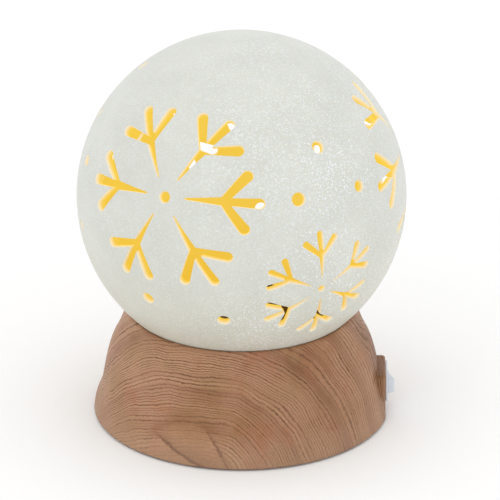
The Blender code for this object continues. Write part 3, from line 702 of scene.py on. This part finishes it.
# Snowflakes: latitude, longitude from the front towards +X, scale, and the six arm angles.
SNOWFLAKES = (
    (20.4, -29.3, 1.0, (7, 62, 122, 180, 242, 307)),
    (-14.0, 29.8, 0.64, (26, 94, 155, 213, 275, 329)),
    (16.0, 96.0, 1.0, (0, 58, 116, 176, 238, 299)),
    (-14.0, -102.0, 0.6, (32, 92, 152, 212, 272, 332)),
    (17.4, 208.6, 1.0, (11, 71, 131, 191, 251, 311)),
)

# Round holes between the snowflakes: latitude, longitude and radius.
ROUND_HOLES = (
    (37.1, 35.0, 2.2),
    (20.9, 21.5, 2.4),
    (19.6, 48.5, 2.0),
    (-20.3, -36.7, 2.2),
    (-25.2, -6.7, 2.2),
    (17.9, -79.0, 2.0),
    (-5.5, -76.0, 2.0),
    (31.0, -95.0, 2.0),
    (52.0, -105.0, 2.2),
    (-24.0, -132.0, 2.4),
    (-5.0, 150.5, 2.6),
    (-29.0, 172.0, 2.2),
    (-21.0, 128.0, 2.2),
    (34.0, 150.0, 2.2),
)

# Section of a cut edge: how far it stands back from the cut, and how deep it lies, in mm.
EDGE_SECTION = ((0.55, 0.0), (0.26, 0.07), (0.08, 0.26), (0.0, 0.55), (0.0, 1.6), (0.0, 2.7), (0.2, 3.0))
# A wedge of material between two prongs is sharper than WEDGE_REACH, and its edges are
# rounded less over the last WEDGE_LENGTH degrees.
WEDGE_REACH = 0.7
WEDGE_LENGTH = 2.0
# The skin's points stand this far apart, and this far from the holes and from the mouth, in mm.
SKIN_SPACING = 2.3
HOLE_MARGIN = 1.0
MOUTH_MARGIN = 1.2
MOUTH_SEGMENTS = 180
# No hole reaches further than this from its middle, in degrees.
HOLE_REACH = 20.0
# An arm's outline has a point at about this spacing, in degrees.
OUTLINE_SPACING = 0.95


def sphere_frame(latitude, longitude):
    """Return the outward, east and north directions at a place on the globe."""
    lat = math.radians(latitude)
    lon = math.radians(longitude)
    out = Vector((math.cos(lat) * math.sin(lon), -math.cos(lat) * math.cos(lon), math.sin(lat)))
    east = Vector((math.cos(lon), math.sin(lon), 0.0))
    return out, east, out.cross(east)


def arc(centre, radius, first, last, steps):
    """Return points on a circle from a first to a last angle in degrees."""
    angles = [math.radians(first + (last - first) * index / steps) for index in range(steps + 1)]
    return [(centre[0] + radius * math.cos(a), centre[1] + radius * math.sin(a)) for a in angles]


def circle(radius):
    """Return a closed outline of 24 points round a hole."""
    return arc((0.0, 0.0), radius, 0.0, 345.0, 23)


def resample(outline, spacing):
    """Return a closed outline with points at an even spacing on its long sides."""
    result = []
    for index, start in enumerate(outline):
        end = outline[(index + 1) % len(outline)]
        length = math.hypot(end[0] - start[0], end[1] - start[1])
        pieces = max(1, round(length / spacing))
        for piece in range(pieces):
            t = piece / pieces
            result.append((start[0] + (end[0] - start[0]) * t, start[1] + (end[1] - start[1]) * t))
    return result


def arm_outline(scale, chance):
    """Return one hand-cut arm in degrees: a tapered stem and three round-ended prongs."""
    wide = chance.uniform(0.94, 1.08)
    reach = chance.uniform(0.985, 1.015)
    side_angle = SIDE_ANGLE + chance.uniform(-3.0, 3.0)
    side = math.radians(side_angle)
    end = (JUNCTION + SIDE_LENGTH * math.cos(side), SIDE_LENGTH * math.sin(side))
    steps = max(5, round(9 * scale))
    upper = [(STEM_START, STEM_START_HALF), (14.0, 0.85 * wide), (JUNCTION - 0.4, JUNCTION_HALF * wide)]
    upper += arc(end, SIDE_R * wide, side_angle + 106.0, side_angle - 106.0, steps + 1)
    upper += [CROTCH]
    upper += arc((TIP_CENTRE * reach, 0.0), TIP_R * wide, 104.0, 90.0 / steps, steps - 1)
    tip = [(TIP_CENTRE * reach + TIP_R * wide, 0.0)]
    lower = [(along, -across) for along, across in reversed(upper)]
    outline = [(x * scale, y * scale) for x, y in upper + tip + lower]
    return resample(outline, OUTLINE_SPACING)


def set_back(outline, amount):
    """Move a closed outline, wound clockwise, away from its hole by an amount in degrees."""
    points = np.array(outline)
    before = np.roll(points, 1, axis=0)
    after = np.roll(points, -1, axis=0)
    sides = []
    for first, last in ((before, points), (points, after)):
        run = last - first
        run /= np.linalg.norm(run, axis=1)[:, None]
        sides.append(np.stack((-run[:, 1], run[:, 0]), axis=1))
    normal = sides[0] + sides[1]
    normal /= np.linalg.norm(normal, axis=1)[:, None]
    reach = (normal * sides[0]).sum(axis=1)
    turn = sides[0][:, 0] * sides[1][:, 1] - sides[0][:, 1] * sides[1][:, 0]
    wedges = points[(turn > 0.0) & (reach < WEDGE_REACH)]
    share = np.ones(len(points))
    for tip in wedges:
        distance = np.linalg.norm(points - tip, axis=1)
        share = np.minimum(share, np.clip(distance / WEDGE_LENGTH, 0.4, 1.0))
    return points + normal * (amount * share / np.clip(reach, 0.45, 1.0))[:, None]


def clockwise(outline):
    """Return a closed outline's points in clockwise order."""
    points = np.array(outline)
    after = np.roll(points, -1, axis=0)
    area = (points[:, 0] * after[:, 1] - after[:, 0] * points[:, 1]).sum()
    return points if area < 0 else points[::-1]


def to_rays(frame_axes, points, turn):
    """Return unit directions for (along, across) points in degrees."""
    out, east, north = (np.array(axis) for axis in frame_axes)
    reach = np.radians(np.hypot(points[:, 0], points[:, 1]))
    angle = np.arctan2(points[:, 1], points[:, 0]) + math.radians(turn)
    side = np.outer(np.cos(angle), east) + np.outer(np.sin(angle), north)
    return out * np.cos(reach)[:, None] + side * np.sin(reach)[:, None]


def holes():
    """Return, for each hole, its loop of directions at each step of the edge section."""
    chance = random.Random(SEED)
    found = []

    def keep(axes, outline, turn):
        ordered = clockwise(outline)
        amounts = [math.degrees(back / GLOBE_R) for back, _ in EDGE_SECTION]
        found.append([to_rays(axes, set_back(ordered, amount), turn) for amount in amounts])

    for latitude, longitude, scale, arms in SNOWFLAKES:
        axes = sphere_frame(latitude, longitude)
        for turn in arms:
            keep(axes, arm_outline(scale, chance), turn)
        keep(axes, circle(DOT_R * scale), 0.0)
    for latitude, longitude, radius in ROUND_HOLES:
        keep(sphere_frame(latitude, longitude), circle(radius), 0.0)
    return found


def flatten(rays):
    """Project directions on to a plane from the bottom pole."""
    return rays[:, :2] / (1.0 + rays[:, 2])[:, None]


def skin_rays(loops, mouth_polar):
    """Return evenly spread directions over the globe, clear of every edge."""
    count = round(4 * math.pi * GLOBE_R**2 / (SKIN_SPACING**2 * 0.866))
    index = np.arange(count)
    height = 1 - 2 * (index + 0.5) / count
    angle = index * math.pi * (3 - math.sqrt(5))
    flat = np.sqrt(1 - height**2)
    rays = np.stack((flat * np.cos(angle), flat * np.sin(angle), height), axis=1)
    rays = rays[height > math.cos(mouth_polar - MOUTH_MARGIN / GLOBE_R)]
    clear = math.cos(HOLE_MARGIN / GLOBE_R)
    for loop in loops:
        centre = loop.mean(axis=0)
        centre /= np.linalg.norm(centre)
        near = rays @ centre > math.cos(math.radians(HOLE_REACH))
        close = (rays[near] @ loop.T).max(axis=1) > clear
        rays = np.delete(rays, np.flatnonzero(near)[close], axis=0)
    return rays


def mouth_section():
    """Return the mouth's loop of directions at each step of the edge section."""
    angles = np.arange(MOUTH_SEGMENTS) * math.tau / MOUTH_SEGMENTS
    mouth = []
    for back, depth in EDGE_SECTION:
        polar = math.pi - math.asin((MOUTH_R + back) / (GLOBE_R - depth))
        flat = math.sin(polar)
        height = np.full(MOUTH_SEGMENTS, math.cos(polar))
        mouth.append(np.stack((flat * np.cos(angles), flat * np.sin(angles), height), axis=1))
    return mouth


def skin_triangles(rays, hole_loops):
    """Join directions into triangles, leaving out those inside the holes."""
    plane = [Vector(point) for point in flatten(rays)]
    outlines = [loop[::-1] for loop in hole_loops]
    result = delaunay_2d_cdt(plane, [], outlines, 0, 1e-7, True)
    triangles, from_vertex, from_face = result[2], result[3], result[5]
    names = [source[0] if source else -1 for source in from_vertex]
    kept = []
    for triangle, source in zip(triangles, from_face):
        corners = tuple(names[corner] for corner in triangle)
        if not source and -1 not in corners:
            kept.append(corners)
    return kept


def make_globe():
    """Build the globe's outer and inner skins and join them through every hole and the mouth."""
    mouth = mouth_section()
    sections = [*holes(), mouth]
    outer_loops = [section[0] for section in sections]
    skin = skin_rays(outer_loops, math.acos(mouth[0][0][2]))
    rays = np.concatenate([skin] + outer_loops)
    loops = []
    start = len(skin)
    for loop in outer_loops:
        loops.append(list(range(start, start + len(loop))))
        start += len(loop)
    skin_faces = skin_triangles(rays, loops[:-1])

    centre = np.array((0.0, 0.0, GLOBE_Z))
    outer = centre + rays * GLOBE_R
    last_rays = np.concatenate([skin] + [section[-1] for section in sections])
    inner = centre + last_rays * INNER_R
    total = len(rays)
    verts = [outer, inner]
    faces = list(skin_faces)
    faces += [tuple(total + corner for corner in reversed(face)) for face in skin_faces]
    filled = 2 * total
    for loop, section in zip(loops, sections):
        rings = [loop]
        for (_, depth), ring_rays in list(zip(EDGE_SECTION, section))[1:-1]:
            verts.append(centre + ring_rays * (GLOBE_R - depth))
            rings.append(list(range(filled, filled + len(loop))))
            filled += len(loop)
        rings.append([total + corner for corner in loop])
        for upper, lower in zip(rings, rings[1:]):
            for index in range(len(loop)):
                after = (index + 1) % len(loop)
                faces.append((upper[index], upper[after], lower[after], lower[index]))
    mesh = outward(mesh_from("globe", np.concatenate(verts), faces))
    shade(mesh, 60.0)
    new_object("snowflake_globe", mesh, "globe", "ceramic", "globe_shade")


# ---------------------------------------------------------------- base

# Profiles of the base, in radius and height: outside from foot to rim, inside back down to the foot.
BASE_OUTSIDE = (
    (54.0, 2.2),
    (53.4, 5.0),
    (51.5, 10.0),
    (50.5, 15.0),
    (49.4, 21.0),
    (47.7, 27.0),
    (45.3, 32.0),
    (43.3, 37.2),
    (42.4, 40.9),
)
BASE_INSIDE = (
    (33.0, 29.6),
    (38.0, 34.2),
    (40.3, 36.2),
    (41.8, 34.6),
    (43.0, 32.0),
    (45.4, 27.0),
    (47.1, 21.0),
    (48.2, 15.0),
    (48.8, 10.0),
    (48.8, 3.1),
    (50.7, 3.1),
    (50.7, 0.8),
)
DISH_CLEARANCE = 0.5
LIP_CLEARANCE = 0.15
GROOVE_DEPTH = 1.7

BOSS_LOW = (43.9, -9.2, 3.7)
BOSS_TOP = 17.0
BOSS_CORNER = 1.5
BOSS_WALL = 2.4
POST_PLACES_R = 43.5
POST_R = 3.4
POST_LOW = 3.1
POST_TOP = 27.0
DECK_SCREW_R = 23.2
PILOT_R = 1.5


def on_sphere(sphere_r, radius):
    """Return the height of the lower half of a sphere about the globe's centre."""
    return GLOBE_Z - math.sqrt(sphere_r**2 - radius**2)


def base_outline():
    """Return the base's closed section: foot, dome, rim, dish with the gasket's groove, and ledge."""
    outline = [(53.9, BASE_BOTTOM), (54.15, BASE_BOTTOM + 0.25)]
    outline += smooth_through(BASE_OUTSIDE, 6)
    outline += [(42.2, 41.45), (41.8, 41.85)]
    lip = GLOBE_R + LIP_CLEARANCE
    dish = GLOBE_R + DISH_CLEARANCE
    groove = dish + GROOVE_DEPTH
    outline += [(r, on_sphere(lip, r)) for r in (41.3, 41.0, 40.4)]
    outline += [(r, on_sphere(dish, r)) for r in (40.0, 39.4, 38.6, 37.6)]
    outline += [(r, on_sphere(groove, r)) for r in (37.6, 36.5, 35.5, 34.4, 33.4)]
    outline += [(r, on_sphere(dish, r)) for r in (33.4, 32.5, 31.9)]
    outline += [(31.6, 33.9), (31.6, 31.8), (19.0, 31.8), (19.0, 29.6)]
    return outline + list(BASE_INSIDE)


def make_base():
    """Build the dome with its boss and cover posts, and cut the switch's room and the pilot holes."""
    mesh = turned("base", base_outline(), 192)
    half = -BOSS_LOW[1]
    corner = (BOSS_FACE_X - BOSS_CORNER, half - BOSS_CORNER)
    front = arc(corner, BOSS_CORNER, 0.0, 90.0, 6)
    back = [(x, -y) for x, y in reversed(front)]
    outline = [(BOSS_LOW[0], -half), *back, *front, (BOSS_LOW[0], half)]
    boss = rounded(prism("boss", outline, BOSS_LOW[2], BOSS_TOP), 0.5, 3, 50.0)
    posts = []
    for x, y in around(POST_PLACES_R, 4, 45.0):
        posts.append(moved(peg("post", POST_R, POST_LOW, POST_TOP, 32), shift(x, y, 0.0)))
    mesh = boolean(mesh, [boss, *posts], "UNION")
    cuts = [box("face", (BOSS_FACE_X, -30.0, -5.0), (80.0, 30.0, 30.0))]
    cuts.append(box("room", (35.0, -8.0, 3.0), (BOSS_FACE_X - BOSS_WALL, 8.0, 15.4)))
    window_high = (58.0, 7.05, SWITCH_Z + 4.2)
    cuts.append(rounded(box("window", (47.0, -7.05, SWITCH_Z - 4.2), window_high), 0.5))
    for x, y in around(POST_PLACES_R, 4, 45.0):
        cuts.append(moved(peg("pilot", PILOT_R, 2.0, 14.0), shift(x, y, 0.0)))
    for x, y in around(DECK_SCREW_R, 3, 90.0):
        cuts.append(moved(peg("pilot", PILOT_R, 28.0, 33.0), shift(x, y, 0.0)))
    mesh = shade(boolean(mesh, cuts, "DIFFERENCE"), 32.0)
    new_object("wood_look_base", mesh, "base", "wood_print", "base_shell")


# ---------------------------------------------------------------- switch

# Half sizes along Y and Z of the frame's bezel, its case and the room that the rocker tips in.
BEZEL_HALF = (7.6, 4.7)
CASE_HALF = (6.75, 3.9)
ROOM_HALF = (6.2, 3.0)
PIN_HOLE_R = 1.1

# The rocker tips about an upright pin; its two ends are arcs about that pin.
ROCKER_AXIS_X = BEZEL_FRONT_X - 2.0
ROCKER_END_R = 5.9
ROCKER_END_FIRST = 54.7
ROCKER_HALF_HEIGHT = 2.7
ROCKER_TILT = 14.4


def switch_block(name, low_x, high_x, half):
    """Return a block centred on the switch, between two places along X."""
    return box(name, (low_x, -half[0], SWITCH_Z - half[1]), (high_x, half[0], SWITCH_Z + half[1]))


def make_switch():
    """Build the white frame with its room, and the rocker with its pins, tipped as at rest."""
    bezel = rounded(switch_block("frame", BOSS_FACE_X + 0.04, BEZEL_FRONT_X, BEZEL_HALF), 0.2, 3)
    case = rounded(switch_block("case", BODY_LOW[0], BEZEL_FRONT_X - 0.3, CASE_HALF), 0.3, 2)
    mesh = boolean(bezel, [case], "UNION")
    room = rounded(switch_block("room", 44.5, 60.0, ROOM_HALF), 0.25, 2)
    hole = moved(peg("hole", PIN_HOLE_R, -6.0, 6.0), shift(ROCKER_AXIS_X, 0.0, SWITCH_Z))
    mesh = shade(boolean(mesh, [room, hole], "DIFFERENCE"))
    new_object("switch_frame", mesh, "base", "white_plastic", "switch_body")

    upper = [(2.95, 0.0), (3.0, 1.2), (3.15, 3.2)]
    upper += arc((0.0, 0.0), ROCKER_END_R, ROCKER_END_FIRST, 100.0, 8)
    lower = [(x, -y) for x, y in reversed(upper[1:])]
    outline = upper + [(-2.6, 1.2), (-2.6, -1.2)] + lower
    mesh = prism("rocker", outline, -ROCKER_HALF_HEIGHT, ROCKER_HALF_HEIGHT)
    mesh = rounded(mesh, 0.3, 3, 25.0)
    pin = [(0.0, -3.5), (0.6, -3.5), (0.8, -3.3), (0.8, 3.3), (0.6, 3.5), (0.0, 3.5)]
    mesh = boolean(mesh, [turned("pins", pin, 32)], "UNION")
    turn = Matrix.Rotation(math.radians(ROCKER_TILT), 4, "Z")
    mesh = shade(moved(mesh, shift(ROCKER_AXIS_X, 0.0, SWITCH_Z) @ turn))
    new_object("rocker_key", mesh, "rocker", "white_plastic", "switch_rocker")


# ---------------------------------------------------------------- screws and softened edges

HEAD_HEIGHT = 0.8
SHANK_R = 1.2
CORE_R = 0.95
THREAD_PITCH = 0.8
RECESS_WIDTH = 0.62
RECESS_DEPTH = 0.5


def screw_mesh(radius, length):
    """Return a screw standing on its head: domed head with a cross recess, thread and point."""
    outline = [(0.0, 0.0), (radius * 0.55, 0.02), (radius * 0.86, 0.12), (radius * 0.97, 0.34)]
    outline += [(radius, 0.6), (radius - 0.06, HEAD_HEIGHT), (CORE_R, HEAD_HEIGHT)]
    height = HEAD_HEIGHT + 0.3
    while height + THREAD_PITCH < length - 1.2:
        outline += [(CORE_R, height), (SHANK_R, height + THREAD_PITCH * 0.5)]
        outline += [(CORE_R, height + THREAD_PITCH)]
        height += THREAD_PITCH
    outline += [(CORE_R - 0.05, length - 1.0), (0.0, length)]
    half = RECESS_WIDTH / 2
    reach = radius * 0.56
    along = box("slot", (-reach, -half, -1.0), (reach, half, RECESS_DEPTH))
    across = box("slot", (-half, -reach, -1.0), (half, reach, RECESS_DEPTH))
    cross = boolean(along, [across], "UNION")
    mesh = boolean(turned("screw", outline, 40), [cross], "DIFFERENCE")
    return shade(mesh, 30.0)


def make_screws():
    """Put a detailed screw in place of each of the frame's plain ones."""
    chance = random.Random(SEED + 1)
    for kind, count, up in (("deck_screw", 3, False), ("cover_screw", 4, True)):
        for number in range(1, count + 1):
            node = f"{kind}_{number}"
            low, high = node_box(node)
            mesh = screw_mesh((high[0] - low[0]) / 2, high[2] - low[2])
            middle = shift((low[0] + high[0]) / 2, (low[1] + high[1]) / 2, low[2] if up else high[2])
            flip = Matrix.Identity(4) if up else Matrix.Rotation(math.pi, 4, "X")
            twist = Matrix.Rotation(chance.uniform(0.0, 1.5), 4, "Z")
            mesh = moved(mesh, middle @ flip @ twist)
            new_object(f"{node}_look", mesh, "base", "steel", node)


def round_edges():
    """Join the split corners of the frame's meshes and break the hard edges of the pieces listed."""
    widths = {
        "bottom_cover": 0.3,
        "light_deck": 0.3,
        "battery_door": 0.25,
        "battery_holder": 0.25,
        "globe_gasket": 0.3,
        "battery_1": 0.35,
        "battery_2": 0.35,
        "battery_3": 0.35,
        "rubber_foot_1": 0.3,
        "rubber_foot_2": 0.3,
        "rubber_foot_3": 0.3,
        "rubber_foot_4": 0.3,
        "led_board": 0.15,
        "plate_contact_1": 0.1,
        "plate_contact_2": 0.1,
        "plate_contact_3": 0.1,
    }
    for item in frame["nodes"].values():
        joined = item.modifiers.new("joined_corners", "WELD")
        joined.merge_threshold = 0.001 * MM
    for name, width in widths.items():
        bevel = frame["nodes"][name].modifiers.new("soft_edges", "BEVEL")
        bevel.width = width * MM
        bevel.segments = 2
        bevel.limit_method = "ANGLE"
        bevel.angle_limit = math.radians(40.0)
        bevel.harden_normals = True


# ---------------------------------------------------------------- materials of the frame, stage


def paint_nodes():
    """Give every node of the frame the detailed material of its slot."""
    slots = {row["node"]: row["material_slot"] for row in frame["record"]["subparts"]}
    for name, item in frame["nodes"].items():
        item.data.materials.clear()
        item.data.materials.append(PAINTS[slots[name]])


def panel(name, place, size, power):
    """Add a round area light that faces the middle of the lamp."""
    light = bpy.data.lights.new(name, "AREA")
    light.shape = "DISK"
    light.size = size
    light.energy = power
    lamp = bpy.data.objects.new(name, light)
    bpy.context.scene.collection.objects.link(lamp)
    lamp.location = place
    target = Vector((0.0, 0.0, 0.07)) - Vector(place)
    lamp.rotation_euler = target.to_track_quat("-Z", "Y").to_euler()


def make_stage():
    """Set up the pale floor and the soft light."""
    data = bmesh.new()
    bmesh.ops.create_grid(data, x_segments=8, y_segments=8, size=3.0)
    mesh = bpy.data.meshes.new("floor")
    data.to_mesh(mesh)
    data.free()
    floor = bpy.data.objects.new("floor", mesh)
    bpy.context.scene.collection.objects.link(floor)
    paint = Paint("floor")
    cloud = paint.noise(paint.place, 3.0, 2.0)
    pale = paint.mix(cloud, (0.965, 0.965, 0.96, 1.0), (0.975, 0.975, 0.975, 1.0))
    paint.set(Base_Color=pale, Roughness=0.9)
    mesh.materials.append(paint.material)

    world = bpy.data.worlds.new("studio")
    bpy.context.scene.world = world
    world.use_nodes = True
    world.node_tree.nodes["Background"].inputs[0].default_value = (1.0, 1.0, 1.0, 1.0)
    world.node_tree.nodes["Background"].inputs[1].default_value = 1.0

    panel("key", (-0.55, -0.75, 1.05), 0.7, 0.9)
    panel("fill", (0.8, -0.8, 0.55), 0.8, 0.5)
    panel("top", (0.0, 0.1, 1.6), 1.2, 1.2)


def make_camera():
    """Set up the camera far off, so that the view is nearly parallel."""
    camera_data = bpy.data.cameras.new("camera")
    camera = bpy.data.objects.new("camera", camera_data)
    bpy.context.scene.collection.objects.link(camera)
    bpy.context.scene.camera = camera
    elevation = math.radians(24.5)
    radius = GLOBE_R * MM
    # These four are in globe radii.
    view_width = 3.0303
    distance = 48.4848
    aim_right = 0.0515
    aim_down = 0.3364
    right = Vector((1.0, 0.0, 0.0))
    back = Vector((0.0, -math.cos(elevation), math.sin(elevation)))
    up = Vector((0.0, math.sin(elevation), math.cos(elevation)))
    aim = Vector((0.0, 0.0, GLOBE_Z * MM)) + right * aim_right * radius - up * aim_down * radius
    camera.location = aim + back * distance * radius
    camera.rotation_euler = (-back).to_track_quat("-Z", "Y").to_euler()
    camera_data.sensor_width = 36.0
    camera_data.lens = 36.0 * distance / view_width
    camera_data.clip_end = 20.0
    bpy.context.scene.view_settings.view_transform = "Standard"


make_stage()
make_camera()
paint_nodes()
make_globe()
make_base()
make_switch()
make_screws()
round_edges()
